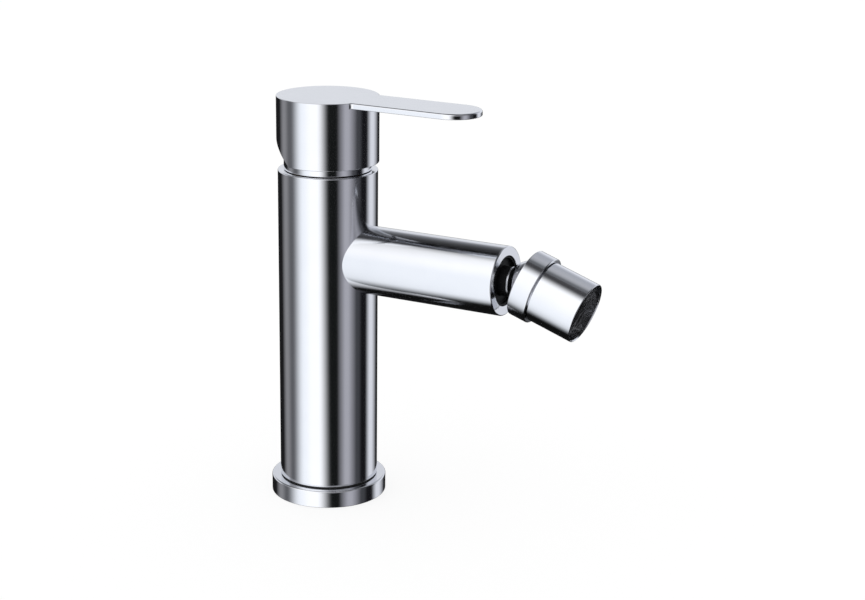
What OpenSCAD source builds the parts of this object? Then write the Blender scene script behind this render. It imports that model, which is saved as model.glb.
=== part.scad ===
// Single-lever bidet mixer on one deck hole: column, straight spout, swivel outlet nozzle and flat lever handle.
// Millimetres. The origin is the column's axis on the deck; +Z is up; the spout and the lever point along +X.

/* [Column and base] */
// Outside diameter of the column
column_d = 45; // [44:0.5:60]
// Height of the column's top rim above the deck
column_top_z = 153.2; // [150:0.1:175]
// Radius on the column's foot edge
column_foot_edge = 0.5; // [0.2:0.1:1.5]
// Radius on the column's top rim
column_rim_edge = 0.5; // [0.2:0.1:0.8]
// Outside diameter of the base ring
base_ring_d = 53; // [51:0.5:70]
// Height of the base ring
base_ring_h = 7.9; // [6:0.1:12]
// Radius on the base ring's top edge
base_ring_edge = 0.8; // [0.3:0.1:1.5]
// Thickness of the flat seal between the column's foot and the base ring
foot_seal_t = 0.6; // [0.3:0.1:1]
// Thickness of the rubber gasket under the base ring
gasket_t = 2; // [1:0.1:3]
// Distance of the ceiling of the hollow under the column below the spout's axis
hollow_drop = 53.75; // [35:0.25:60]

/* [Inlets and fixing] */
// Bore of the two threaded supply inlets, M10 x 1
inlet_d = 8.92; // [8:0.01:9.5]
// Length of thread in each inlet
inlet_thread = 14; // [8:0.5:18]
// Spacing of the two inlets
inlet_spacing = 17; // [16:0.5:18]
// Distance of the inlets in front of the column's axis
inlet_forward = 3.5; // [2.5:0.1:4.5]
// Bore of the threaded hole for the fixing stud, M8
stud_d = 6.8; // [5:0.1:7]
// Length of thread in the stud hole
stud_thread = 16; // [8:0.5:20]
// Distance of the stud hole behind the column's axis
stud_back = 9; // [8:0.1:10]

/* [Spout] */
// Outside diameter of the spout
spout_d = 30.7; // [29:0.1:34]
// Metal left between the spout's seat and the cartridge's seat above it
spout_floor = 0.9; // [0.6:0.05:20]
// Distance of the spout's end face from the column's axis
spout_reach = 90; // [75:0.5:130]
// Bore of the spout's mouth, entry of an M22 x 1 thread
mouth_d = 22.1; // [21:0.1:24]
// Depth of the cup in the threaded insert's front, behind the spout's end
mouth_depth = 5; // [2:0.5:8]
// Radius on the spout's end edge
spout_edge = 0.6; // [0.2:0.1:1]

/* [Swivel nozzle] */
// Distance of the ball's centre in front of the spout's end
ball_forward = 11.7; // [11.5:0.1:16]
// Diameter of the ball
ball_d = 21; // [20:0.1:21.4]
// Diameter of the stem that turns in the insert
stem_d = 13; // [11:0.1:13.2]
// Diameter of the neck between that stem and the ball
stem_neck_d = 10.4; // [9.6:0.1:10.8]
// Nozzle's downward slope at rest, in degrees
nozzle_slope = 18.9; // [0:0.1:30]
// Outside diameter of the collar round the ball
collar_d = 30.4; // [29.5:0.1:31]
// Length of the collar
collar_length = 8.75; // [8:0.05:11]
// How far the collar reaches behind the ball's centre
collar_behind = 2.55; // [2:0.05:3]
// Width of the groove between collar and sleeve
collar_groove = 0.4; // [0.3:0.1:1]
// Outside diameter of the outlet sleeve
sleeve_d = 27.4; // [27.2:0.1:29]
// Distance of the outlet's rim from the ball's centre
sleeve_end = 27.5; // [26:0.1:40]
// Wall thickness at the outlet's rim
sleeve_rim = 0.7; // [0.6:0.05:1.1]
// Depth of the aerator inside the rim
aerator_recess = 6; // [2:0.1:6.5]

/* [Handle and neck] */
// Outside diameter of the handle's cup
handle_d = 46; // [45.6:0.1:60]
// Height of the handle's flat top above the column's rim
handle_rise = 33.3; // [33:0.1:45]
// Gap between the column's rim and the handle's lower edge
handle_gap = 3.5; // [3.4:0.1:3.8]
// Height of the slanted cut at the back of the handle
handle_cut_h = 13.5; // [13:0.1:15]
// Slope of that cut, in degrees
handle_cut_slope = 40; // [38:0.5:42]
// Wall thickness of the cup
handle_wall = 2.1; // [1.8:0.05:2.2]
// Distance of the lever's tip from the column's axis
lever_reach = 75.5; // [60:0.5:110]
// Width of the lever
lever_w = 25; // [18:0.5:32]
// Thickness of the lever blade
lever_t = 2.5; // [2:0.1:4]
// Radius of the hollow corner between cup and lever
lever_corner = 2.5; // [1:0.1:5]
// Outside diameter of the neck ring
neck_d = 39.6; // [39.2:0.1:39.8]

/* [Cartridge] */
// Outside diameter of the cartridge
cartridge_d = 34.8; // [34:0.1:35]
// Height of the lever's pivot above the column's rim
pivot_rise = 6.8; // [6.6:0.1:7]
// Diameter of the pivot pin
pin_d = 3; // [2.5:0.1:3.4]
// Width of the square spindle
spindle_w = 7; // [6.4:0.1:7.2]
// Largest lift of the lever, in degrees
lever_lift = 25; // [15:1:25]

/* [Hidden] */
$fn = 72;
// Clearances shared by all fits
running_gap = 0.05;
seat_gap = 0.05;
free_gap = 0.35;
thread_gap = 0.05;
// Small overlap that lets one cut run clean through another
cut_over = 1;

// Column and base
column_r = column_d / 2;
base_ring_r = base_ring_d / 2;
base_ring_low_edge = 0.3;
spigot_step = 3.5;
spigot_z = 2.5;
foot_seal_step = 0.5;
hollow_wall = 2.5;
spigot_r = column_r - spigot_step;
column_foot_z = base_ring_h + foot_seal_t;
spigot_h = column_foot_z - spigot_z;
foot_seal_r = column_r - foot_seal_step;
hollow_r = spigot_r - hollow_wall;
gasket_share = 0.2;
gasket_land = gasket_share * (base_ring_r - spigot_r);
gasket_r_in = spigot_r + gasket_land;
gasket_r_out = base_ring_r - gasket_land;

// Cartridge: its stack hangs from the nut, and the nut from the column's rim
cartridge_r = cartridge_d / 2;
cartridge_bore_r = cartridge_r + 2 * seat_gap;
nut_thread_step = 1.5;
nut_depth = 7.7;
nut_lip = 3;
nut_sink = 0.2;
nut_hex_h = 4;
nut_hex_step = 2;
nut_thread_r = cartridge_bore_r + nut_thread_step;
nut_low_z = column_top_z - nut_depth;
nut_top_z = column_top_z - nut_sink;
nut_face_z = nut_top_z - nut_lip;
nut_hex_r = nut_thread_r - nut_hex_step;
housing_neck_r = 13.6;
housing_neck_wall = 1.6;
housing_rise = 8.3;
housing_top_z = column_top_z + housing_rise;
nut_bore_r = housing_neck_r + free_gap;
base_flange_h = 1.5;
base_h = 5;
shell_wall = 2;
shell_r = cartridge_r - shell_wall;
disc_gap = 0.2;
fixed_disc_h = 3.5;
moving_disc_h = 3.5;
carrier_h = 6.5;
carrier_rib_h = 2;
carrier_rib_w = 8;
carrier_gap = 0.5;
guide_flange_h = 2.7;
guide_rise = 9.3;
shell_plate_t = 1.95;
shell_plate_z = nut_face_z - shell_plate_t;
guide_z = shell_plate_z - free_gap - guide_flange_h;
carrier_z = guide_z - carrier_gap - carrier_h;
moving_disc_z = carrier_z - moving_disc_h;
fixed_disc_z = moving_disc_z - fixed_disc_h;
cartridge_floor_z = fixed_disc_z - base_h;
guide_neck_r = housing_neck_r - housing_neck_wall - running_gap;
guide_top_z = column_top_z + guide_rise;

// Pivot and the discs' slide
pivot_z = column_top_z + pivot_rise;
pin_r = pin_d / 2;
pin_inset = 1;
pin_end_gap = 0.2;
pin_length = 2 * (guide_neck_r - pin_inset);
tip_rise = 5.5;
tip_z = carrier_z + tip_rise;
tip_r = 3.2;
rod_r = 2.2;
lever_arm = pivot_z - tip_z;
disc_travel = lever_arm * sin(lever_lift);
disc_back = disc_travel / 2;
disc_room = 1;
pocket_wall = 1.5;
moving_disc_r = shell_r - disc_back - disc_room;
socket_r = tip_r + free_gap;
slot_gap = 0.4;
slot_room = 0.6;
slot_half = spindle_w / 2 + slot_gap;
eye_low = 4;
eye_sweep = sqrt(pow(spindle_w / 2, 2) + pow(eye_low, 2)) + slot_gap;
slot_back = rod_r + 2 * slot_room;
slot_front = disc_travel + tip_r + slot_room;
slot_step = 1.7;
slot_mid_z = tip_z + lever_arm * (1 - cos(lever_lift)) + tip_r + slot_room;

// Waterways
inlet_r = inlet_d / 2;
channel_r = 3.2;
inlet_y = inlet_spacing / 2;
outlet_back = 8.5;
outlet_r = 4.2;
seal_wall = 1.4;
seal_h = 1.2;
peg_r = 1.5;
peg_h = 2.5;
peg_back = 1;
peg_y = 13.2;

// Spout and its seat in the column
spout_r = spout_d / 2;
spout_step = 4;
spout_wall = 2.4;
spout_seat = 8.5;
spout_spigot_r = spout_r - spout_step;
spout_z = cartridge_floor_z - spout_floor - spout_spigot_r;
hollow_top_z = spout_z - hollow_drop;
spout_way_r = spout_spigot_r - spout_wall;
spout_root_x = column_r - spout_seat;
mouth_r = mouth_d / 2;
insert_r = mouth_r - thread_gap;
insert_front_x = spout_reach - mouth_depth;
insert_length = 8;
insert_back_x = insert_front_x - insert_length;
insert_skirt = 1;
insert_sink = 0.5;
insert_cup_r = insert_r - insert_skirt;
insert_rim_x = spout_reach - insert_sink;
insert_seal_t = 1.5;
mouth_floor_x = insert_back_x - insert_seal_t;

// Ball stem
ball_x = spout_reach + ball_forward;
ball_r = ball_d / 2;
stem_r = stem_d / 2;
stem_shoulder_step = 0.9;
stem_shoulder_w = 1.6;
stem_flat_share = 0.67;
stem_tail = 3.5;
stem_way_r = 4;
stem_shoulder_r = stem_r + stem_shoulder_step;
stem_shoulder_x = insert_front_x + free_gap;
stem_shoulder_end = stem_shoulder_x + stem_shoulder_w;
stem_neck_r = stem_neck_d / 2;
stem_flat = stem_flat_share * ball_r;
stem_back_x = insert_back_x - stem_tail;
clip_t = 1.1;
clip_groove = 0.6;
clip_step = 1.6;
clip_front_x = insert_back_x - free_gap;
clip_groove_r = stem_r - clip_groove;
clip_r = stem_r + clip_step;
insert_seal_r_in = clip_r + free_gap;
ring_section_r = 0.6;
ring_room = 0.2;
ring_groove_w = 2 * ring_section_r + ring_room;
ring_x = insert_front_x - insert_length / 2;

// Nozzle, measured along its own axis from the ball's centre
socket_ball_r = ball_r + running_gap;
collar_r = collar_d / 2;
collar_edge = 0.5;
collar_front = collar_length - collar_behind;
seat_back = 1;
sleeve_thread = 1.7;
seat_wall = 1.65;
seat_front = collar_front - sleeve_thread;
seat_r = ball_r + seat_wall;
collar_bore_r = seat_r + seat_gap;
sleeve_r = sleeve_d / 2;
sleeve_edge = 0.4;
sleeve_back = collar_front + collar_groove;
sleeve_lip = 0.5;
sleeve_chamber_r = ball_r - sleeve_lip;
aerator_depth = 12.5;
aerator_seat = sleeve_end - aerator_depth;
aerator_face = sleeve_end - aerator_recess;
aerator_flange_h = 1.8;
aerator_flange_z = aerator_face - aerator_flange_h;
aerator_step = 0.65;
mouth_rim_r = sleeve_r - sleeve_rim;
aerator_bore_r = mouth_rim_r - aerator_step;
aerator_r = aerator_bore_r - seat_gap;
aerator_flange_r = mouth_rim_r - seat_gap;
washer_t = 1.6;
washer_lap = 1;
aerator_plate_t = 1.4;
aerator_wall = 1.4;
aerator_hole_r = 1.2;
aerator_hole_share = 0.6;
aerator_way_r = aerator_r - aerator_wall;
screen_t = 0.8;
screen_inset = 0.4;
screen_pitch = 3;
screen_bar = 0.8;

// Handle
handle_r = handle_d / 2;
handle_low_z = column_top_z + handle_gap;
handle_top_z = column_top_z + handle_rise;
handle_h = handle_top_z - handle_low_z;
handle_edge = 0.4;
cup_r = handle_r - handle_wall;
cup_roof = 5.5;
boss_r = 9.5;
boss_rise = 9;
boss_low_z = pivot_z + boss_rise;
spindle_sink = 6.5;
spindle_top_z = handle_top_z - spindle_sink;
socket_w = spindle_w + 2 * seat_gap;
grub_r = 2.5;
grub_drop = 9.5;
grub_length = 5.6;
grub_z = handle_top_z - grub_drop;
plug_r = 3.2;
plug_floor = 0.2;
plug_sink = 0.3;
plug_depth = handle_wall - plug_floor;
key_w = 2.5;
key_depth = 2;
lever_half = lever_w / 2;
lever_tip_x = lever_reach - lever_half;
corner_root_r = handle_r - seat_gap;
corner_x = sqrt(pow(corner_root_r + lever_corner, 2) - pow(lever_half + lever_corner, 2));
corner_y = lever_half + lever_corner;
corner_share = corner_root_r / (corner_root_r + lever_corner);

// Neck ring
neck_r = neck_d / 2;
neck_h = 5.3;
neck_lip_h = 1.2;
neck_wall = 1.8;
neck_edge = 0.4;
neck_bore_r = neck_r - neck_wall;
neck_lip_r = housing_neck_r + free_gap;

// Half section of a round bar with rounded lower and upper edges
module bar_section(r, h, low_edge, high_edge) {
  translate([0, low_edge])
    square([r, h - low_edge - high_edge]);
  if (low_edge > 0) {
    square([r - low_edge, 2 * low_edge]);
    translate([r - low_edge, low_edge])
      circle(low_edge);
  }
  if (high_edge > 0) {
    translate([0, h - 2 * high_edge])
      square([r - high_edge, 2 * high_edge]);
    translate([r - high_edge, h - high_edge])
      circle(high_edge);
  }
}

module round_bar(r, h, low_edge, high_edge) {
  rotate_extrude()
    bar_section(r, h, low_edge, high_edge);
}

// Plain ring between two radii
module ring(r_out, r_in, h) {
  difference() {
    cylinder(r = r_out, h = h);
    translate([0, 0, -cut_over])
      cylinder(r = r_in, h = h + 2 * cut_over);
  }
}

// Puts a piece drawn along +Z on the spout's axis, with its Z measured from the column's axis
module on_spout() {
  translate([0, 0, spout_z])
    rotate([0, 90, 0])
      children();
}

// Puts a piece drawn along +Z on the nozzle's axis, with its Z measured from the ball's centre
module on_nozzle() {
  translate([ball_x, 0, spout_z])
    rotate([0, 90 + nozzle_slope, 0])
      children();
}

// The two inlets and the mixed outlet, as centres of the cartridge's ports
module at_inlets() {
  for (side = [-1, 1])
    translate([inlet_forward, side * inlet_y, 0])
      children();
}

module at_outlet() {
  translate([-outlet_back, 0, 0])
    children();
}

module at_pegs() {
  for (side = [-1, 1])
    translate([-peg_back, side * peg_y, 0])
      children();
}

module base_gasket() {
  color([0.08, 0.08, 0.08])
    ring(gasket_r_out - seat_gap, gasket_r_in + seat_gap, gasket_t);
}

module base_ring() {
  color([0.8, 0.82, 0.85])
    difference() {
      round_bar(base_ring_r, base_ring_h, base_ring_low_edge, base_ring_edge);
      translate([0, 0, -cut_over])
        cylinder(r = spigot_r + seat_gap, h = base_ring_h + 2 * cut_over);
      translate([0, 0, -cut_over])
        ring(gasket_r_out, gasket_r_in, gasket_t + cut_over);
    }
}

module foot_seal() {
  color([0.08, 0.08, 0.08])
    translate([0, 0, base_ring_h])
      ring(foot_seal_r, spigot_r + seat_gap, foot_seal_t);
}

module column() {
  color([0.8, 0.82, 0.85])
    difference() {
      union() {
        translate([0, 0, column_foot_z])
          round_bar(column_r, column_top_z - column_foot_z, column_foot_edge, column_rim_edge);
        translate([0, 0, spigot_z])
          cylinder(r = spigot_r, h = spigot_h + cut_over);
      }
      // Hollow under the column, with the inlets and the stud hole in its ceiling
      translate([0, 0, spigot_z - cut_over])
        cylinder(r = hollow_r, h = hollow_top_z - spigot_z + cut_over);
      at_inlets()
        translate([0, 0, hollow_top_z - cut_over])
          cylinder(r = inlet_r, h = inlet_thread + cut_over);
      at_inlets()
        translate([0, 0, hollow_top_z])
          cylinder(r = channel_r, h = cartridge_floor_z - hollow_top_z + cut_over);
      translate([-stud_back, 0, hollow_top_z - cut_over])
        cylinder(r = stud_d / 2, h = stud_thread + cut_over);
      // Cartridge bore and the nut's thread
      translate([0, 0, cartridge_floor_z])
        cylinder(r = cartridge_bore_r, h = column_top_z - cartridge_floor_z + cut_over);
      translate([0, 0, nut_low_z - cut_over])
        cylinder(r = nut_thread_r, h = column_top_z - nut_low_z + 2 * cut_over);
      at_pegs()
        translate([0, 0, cartridge_floor_z - peg_h - free_gap])
          cylinder(r = peg_r + seat_gap, h = peg_h + free_gap + cut_over);
      // Mixed water runs down behind the inlets and forward between them into the spout
      at_outlet()
        translate([0, 0, spout_z])
          cylinder(r = outlet_r, h = cartridge_floor_z - spout_z + cut_over);
      on_spout()
        translate([0, 0, -outlet_back])
          cylinder(r = outlet_r, h = outlet_back + spout_root_x + cut_over);
      on_spout()
        translate([0, 0, spout_root_x])
          cylinder(r = spout_spigot_r + seat_gap, h = column_d);
    }
}

module spout() {
  color([0.8, 0.82, 0.85])
    difference() {
      union() {
        difference() {
          on_spout()
            round_bar(spout_r, spout_reach, 0, spout_edge);
          cylinder(r = column_r + seat_gap, h = column_top_z);
        }
        on_spout()
          translate([0, 0, spout_root_x])
            cylinder(r = spout_spigot_r, h = column_r);
      }
      on_spout()
        translate([0, 0, spout_root_x - cut_over])
          cylinder(r = spout_way_r, h = spout_reach);
      on_spout()
        translate([0, 0, mouth_floor_x])
          cylinder(r = mouth_r, h = spout_reach);
    }
}

module cartridge_base() {
  color([0.9, 0.9, 0.88])
    difference() {
      union() {
        translate([0, 0, cartridge_floor_z])
          cylinder(r = cartridge_r, h = base_flange_h);
        translate([0, 0, cartridge_floor_z])
          cylinder(r = shell_r - seat_gap, h = base_h);
        at_pegs()
          translate([0, 0, cartridge_floor_z - peg_h])
            cylinder(r = peg_r, h = peg_h + cut_over);
      }
      at_inlets()
        translate([0, 0, cartridge_floor_z - cut_over])
          cylinder(r = channel_r, h = base_h + 2 * cut_over);
      at_outlet()
        translate([0, 0, cartridge_floor_z - cut_over])
          cylinder(r = outlet_r, h = base_h + 2 * cut_over);
      at_inlets()
        translate([0, 0, cartridge_floor_z - cut_over])
          cylinder(r = channel_r + seal_wall + seat_gap, h = seal_h + cut_over);
      at_outlet()
        translate([0, 0, cartridge_floor_z - cut_over])
          cylinder(r = outlet_r + seal_wall + seat_gap, h = seal_h + cut_over);
    }
}

module port_seals() {
  color([0.1, 0.1, 0.1])
    translate([0, 0, cartridge_floor_z]) {
      at_inlets()
        ring(channel_r + seal_wall, channel_r + seat_gap, seal_h);
      at_outlet()
        ring(outlet_r + seal_wall, outlet_r + seat_gap, seal_h);
    }
}

module fixed_disc() {
  color([0.93, 0.93, 0.9])
    translate([0, 0, fixed_disc_z])
      difference() {
        cylinder(r = shell_r - disc_gap, h = fixed_disc_h);
        at_inlets()
          translate([0, 0, -cut_over])
            cylinder(r = channel_r, h = fixed_disc_h + 2 * cut_over);
        at_outlet()
          translate([0, 0, -cut_over])
            cylinder(r = outlet_r, h = fixed_disc_h + 2 * cut_over);
      }
}

module moving_disc() {
  pocket_r = moving_disc_r - pocket_wall;
  color([0.86, 0.86, 0.83])
    translate([-disc_back, 0, moving_disc_z])
      difference() {
        cylinder(r = moving_disc_r, h = moving_disc_h);
        // Pocket that joins inlets and outlet once the disc has slid forward
        translate([0, 0, -cut_over])
          intersection() {
            cylinder(r = pocket_r, h = moving_disc_h / 2 + cut_over);
            translate([-2 * pocket_r + disc_back - carrier_gap, -pocket_r, 0])
              cube([2 * pocket_r, 2 * pocket_r, moving_disc_h]);
          }
      }
}

module disc_carrier() {
  color([0.25, 0.35, 0.55])
    difference() {
      translate([-disc_back, 0, carrier_z])
        intersection() {
          cylinder(r = moving_disc_r, h = carrier_h + carrier_rib_h);
          union() {
            cylinder(r = moving_disc_r + cut_over, h = carrier_h);
            translate([-moving_disc_r, -carrier_rib_w / 2, 0])
              cube([2 * moving_disc_r, carrier_rib_w, carrier_h + carrier_rib_h]);
          }
        }
      translate([0, 0, tip_z - tip_r - free_gap])
        cylinder(r = socket_r, h = carrier_h + carrier_rib_h);
    }
}

module cartridge_housing() {
  color([0.92, 0.92, 0.9])
    difference() {
      union() {
        translate([0, 0, cartridge_floor_z + base_flange_h])
          cylinder(r = cartridge_r, h = nut_face_z - cartridge_floor_z - base_flange_h);
        translate([0, 0, nut_face_z - cut_over])
          cylinder(r = housing_neck_r, h = housing_top_z - nut_face_z + cut_over);
      }
      translate([0, 0, cartridge_floor_z])
        cylinder(r = shell_r, h = shell_plate_z - cartridge_floor_z);
      translate([0, 0, shell_plate_z - cut_over])
        cylinder(r = guide_neck_r + running_gap, h = housing_top_z - shell_plate_z + 2 * cut_over);
    }
}

module cartridge_nut() {
  color([0.75, 0.6, 0.3])
    difference() {
      union() {
        translate([0, 0, nut_low_z])
          cylinder(r = nut_thread_r - thread_gap, h = nut_top_z - nut_low_z);
        translate([0, 0, nut_top_z - cut_over])
          linear_extrude(nut_hex_h + cut_over)
            circle(nut_hex_r, $fn = 6);
      }
      translate([0, 0, nut_low_z - cut_over])
        cylinder(r = cartridge_bore_r, h = nut_face_z - nut_low_z + cut_over);
      translate([0, 0, nut_low_z])
        cylinder(r = nut_bore_r, h = nut_top_z + nut_hex_h - nut_low_z + cut_over);
    }
}

module neck_ring() {
  color([0.8, 0.82, 0.85])
    translate([0, 0, column_top_z])
      difference() {
        round_bar(neck_r, neck_h, 0, neck_edge);
        translate([0, 0, -cut_over])
          cylinder(r = neck_bore_r, h = neck_h - neck_lip_h + cut_over);
        cylinder(r = neck_lip_r, h = neck_h + cut_over);
      }
}

module lever_guide() {
  slot_top = guide_top_z - guide_z + 2 * cut_over;
  color([0.95, 0.95, 0.95])
    difference() {
      union() {
        translate([0, 0, guide_z])
          cylinder(r = shell_r - free_gap, h = guide_flange_h);
        translate([0, 0, guide_z])
          cylinder(r = guide_neck_r, h = guide_top_z - guide_z);
      }
      // Way for the carrier's rib
      translate([-shell_r, -carrier_rib_w / 2 - free_gap, guide_z - cut_over])
        cube([2 * shell_r, carrier_rib_w + 2 * free_gap, carrier_rib_h - carrier_gap + free_gap + cut_over]);
      // Slot in which the spindle swings: wide round the eye, long at its tip
      translate([-eye_sweep, -slot_half, pivot_z - eye_sweep])
        cube([2 * eye_sweep, 2 * slot_half, slot_top]);
      translate([-slot_back, -slot_half, guide_z - cut_over])
        cube([slot_back + slot_front - slot_step, 2 * slot_half, pivot_z - guide_z]);
      translate([-slot_back, -slot_half, guide_z - cut_over])
        cube([slot_back + slot_front, 2 * slot_half, slot_mid_z - guide_z + cut_over]);
      // Seat of the pivot pin
      translate([0, pin_length / 2, pivot_z])
        rotate([90, 0, 0])
          cylinder(r = pin_r + seat_gap / 2, h = pin_length);
    }
}

module pivot_pin() {
  color([0.7, 0.7, 0.72])
    translate([0, pin_length / 2 - pin_end_gap, pivot_z])
      rotate([90, 0, 0])
        cylinder(r = pin_r, h = pin_length - 2 * pin_end_gap);
}

module spindle() {
  color([0.75, 0.62, 0.35])
    difference() {
      union() {
        translate([-spindle_w / 2, -spindle_w / 2, pivot_z - eye_low])
          cube([spindle_w, spindle_w, spindle_top_z - pivot_z + eye_low]);
        translate([0, 0, tip_z])
          cylinder(r = rod_r, h = lever_arm);
        translate([0, 0, tip_z])
          sphere(tip_r);
      }
      translate([0, spindle_w, pivot_z])
        rotate([90, 0, 0])
          cylinder(r = pin_r + running_gap, h = 2 * spindle_w);
    }
}

// Outline of the blade with its round tip, and of the hollow corners where it meets the cup
module blade_outline() {
  translate([0, -lever_half])
    square([lever_tip_x, lever_w]);
  translate([lever_tip_x, 0])
    circle(lever_half);
  for (side = [-1, 1])
    difference() {
      polygon([
        [0, 0],
        [corner_x * corner_share, side * corner_y * corner_share],
        [corner_x, side * corner_y],
        [corner_x, side * lever_half],
        [corner_x, 0]
      ]);
      translate([corner_x, side * corner_y])
        circle(lever_corner);
    }
}

module handle() {
  cut_size = 3 * handle_r;
  color([0.8, 0.82, 0.85])
    difference() {
      union() {
        difference() {
          translate([0, 0, handle_low_z])
            round_bar(handle_r, handle_h, handle_edge, 0);
          translate([0, 0, handle_low_z - cut_over])
            cylinder(r = cup_r, h = handle_h - cup_roof + cut_over);
          // Slanted cut at the back, which lets the handle rock over the column's rim
          translate([-handle_r, 0, handle_low_z + handle_cut_h])
            rotate([0, handle_cut_slope, 0])
              translate([-cut_size / 2, -cut_size / 2, -cut_size])
                cube([2 * cut_size, cut_size, cut_size]);
        }
        translate([0, 0, boss_low_z])
          cylinder(r = boss_r, h = handle_top_z - boss_low_z - lever_t);
        translate([0, 0, handle_top_z - lever_t])
          linear_extrude(lever_t)
            blade_outline();
      }
      translate([-socket_w / 2, -socket_w / 2, boss_low_z - cut_over])
        cube([socket_w, socket_w, spindle_top_z - boss_low_z + cut_over + seat_gap]);
      // Threaded hole of the grub screw, with the plug's wider seat in the outer wall
      translate([-handle_r - cut_over, 0, grub_z])
        rotate([0, 90, 0])
          cylinder(r = grub_r + thread_gap, h = handle_r + cut_over);
      translate([-handle_r - cut_over, 0, grub_z])
        rotate([0, 90, 0])
          cylinder(r = plug_r + seat_gap, h = plug_depth + cut_over);
    }
}

module handle_grub_screw() {
  color([0.35, 0.35, 0.37])
    translate([-spindle_w / 2 - seat_gap - grub_length, 0, grub_z])
      rotate([0, 90, 0])
        difference() {
          cylinder(r = grub_r, h = grub_length);
          translate([0, 0, -cut_over])
            linear_extrude(key_depth + cut_over)
              circle(key_w / sqrt(3), $fn = 6);
        }
}

module index_plug() {
  color([0.2, 0.3, 0.6])
    translate([-handle_r + plug_sink, 0, grub_z])
      rotate([0, 90, 0])
        cylinder(r = plug_r, h = plug_depth - plug_sink - seat_gap);
}

module insert_seal() {
  color([0.12, 0.12, 0.12])
    on_spout()
      translate([0, 0, mouth_floor_x])
        ring(mouth_r - seat_gap, insert_seal_r_in, insert_seal_t);
}

module swivel_insert() {
  color([0.1, 0.1, 0.11])
    on_spout()
      difference() {
        translate([0, 0, insert_back_x])
          ring(insert_r, stem_r + running_gap, insert_rim_x - insert_back_x);
        // Cup that gives the stem's shoulder room, so that only a thin skirt lines the mouth
        translate([0, 0, insert_front_x])
          cylinder(r = insert_cup_r, h = mouth_depth);
      }
}

module ball_stem() {
  color([0.8, 0.82, 0.85])
    on_spout()
      difference() {
        union() {
          translate([0, 0, stem_back_x])
            cylinder(r = stem_r, h = stem_shoulder_end - stem_back_x);
          translate([0, 0, stem_shoulder_x])
            cylinder(r = stem_shoulder_r, h = stem_shoulder_w);
          translate([0, 0, stem_shoulder_x])
            cylinder(r = stem_neck_r, h = ball_x - stem_shoulder_x);
          difference() {
            translate([0, 0, ball_x])
              sphere(ball_r);
            translate([0, 0, ball_x + stem_flat])
              cylinder(r = ball_r, h = ball_r);
          }
        }
        translate([0, 0, stem_back_x - cut_over])
          cylinder(r = stem_way_r, h = ball_x - stem_back_x + ball_r + 2 * cut_over);
        translate([0, 0, ring_x - ring_groove_w / 2])
          ring(stem_r + cut_over, stem_r - 2 * ring_section_r, ring_groove_w);
        translate([0, 0, clip_front_x - clip_t - seat_gap])
          ring(stem_r + cut_over, clip_groove_r, clip_t + 2 * seat_gap);
      }
}

module stem_o_ring() {
  color([0.1, 0.1, 0.1])
    on_spout()
      translate([0, 0, ring_x])
        rotate_extrude()
          translate([stem_r - ring_section_r, 0])
            circle(ring_section_r - seat_gap / 2);
}

module stem_clip() {
  color([0.65, 0.65, 0.67])
    on_spout()
      translate([0, 0, clip_front_x - clip_t])
        ring(clip_r, clip_groove_r + seat_gap, clip_t);
}

module collar() {
  color([0.8, 0.82, 0.85])
    on_nozzle()
      difference() {
        translate([0, 0, -collar_behind])
          round_bar(collar_r, collar_length, collar_edge, collar_edge);
        sphere(socket_ball_r);
        translate([0, 0, seat_back])
          cylinder(r = collar_bore_r, h = collar_length);
      }
}

module ball_seat() {
  color([0.9, 0.9, 0.85])
    on_nozzle()
      difference() {
        translate([0, 0, seat_back])
          cylinder(r = seat_r, h = seat_front - seat_back);
        sphere(socket_ball_r);
      }
}

module nozzle_sleeve() {
  color([0.8, 0.82, 0.85])
    on_nozzle()
      difference() {
        union() {
          translate([0, 0, seat_front])
            cylinder(r = collar_bore_r - thread_gap, h = sleeve_back - seat_front + cut_over);
          translate([0, 0, sleeve_back])
            round_bar(sleeve_r, sleeve_end - sleeve_back, 0, sleeve_edge);
        }
        translate([0, 0, seat_front - cut_over])
          cylinder(r = sleeve_chamber_r, h = sleeve_end);
        translate([0, 0, aerator_seat])
          cylinder(r = aerator_bore_r, h = sleeve_end);
        translate([0, 0, aerator_flange_z])
          cylinder(r = mouth_rim_r, h = sleeve_end);
      }
}

module aerator_washer() {
  color([0.12, 0.12, 0.12])
    on_nozzle()
      translate([0, 0, aerator_seat])
        ring(aerator_r, aerator_way_r - washer_lap, washer_t);
}

module aerator_insert() {
  plate_z = aerator_seat + washer_t;
  color([0.2, 0.2, 0.22])
    on_nozzle()
      difference() {
        union() {
          translate([0, 0, plate_z])
            cylinder(r = aerator_r, h = aerator_face - plate_z);
          translate([0, 0, aerator_flange_z])
            cylinder(r = aerator_flange_r, h = aerator_flange_h);
        }
        translate([0, 0, plate_z + aerator_plate_t])
          cylinder(r = aerator_way_r, h = aerator_face);
        for (turn = [0 : 45 : 315])
          rotate([0, 0, turn])
            translate([aerator_hole_share * aerator_way_r, 0, plate_z - cut_over])
              cylinder(r = aerator_hole_r, h = aerator_plate_t + 2 * cut_over);
      }
}

module aerator_screen() {
  span = floor(aerator_way_r / screen_pitch);
  hole = screen_pitch - screen_bar;
  color([0.2, 0.2, 0.22])
    on_nozzle()
      translate([0, 0, aerator_face - screen_inset - screen_t])
        linear_extrude(screen_t)
          difference() {
            circle(aerator_way_r - seat_gap);
            intersection() {
              circle(aerator_way_r - screen_bar);
              for (i = [-span : span])
                for (j = [-span : span])
                  translate([i * screen_pitch - hole / 2, j * screen_pitch - hole / 2])
                    square(hole);
            }
          }
}

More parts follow.
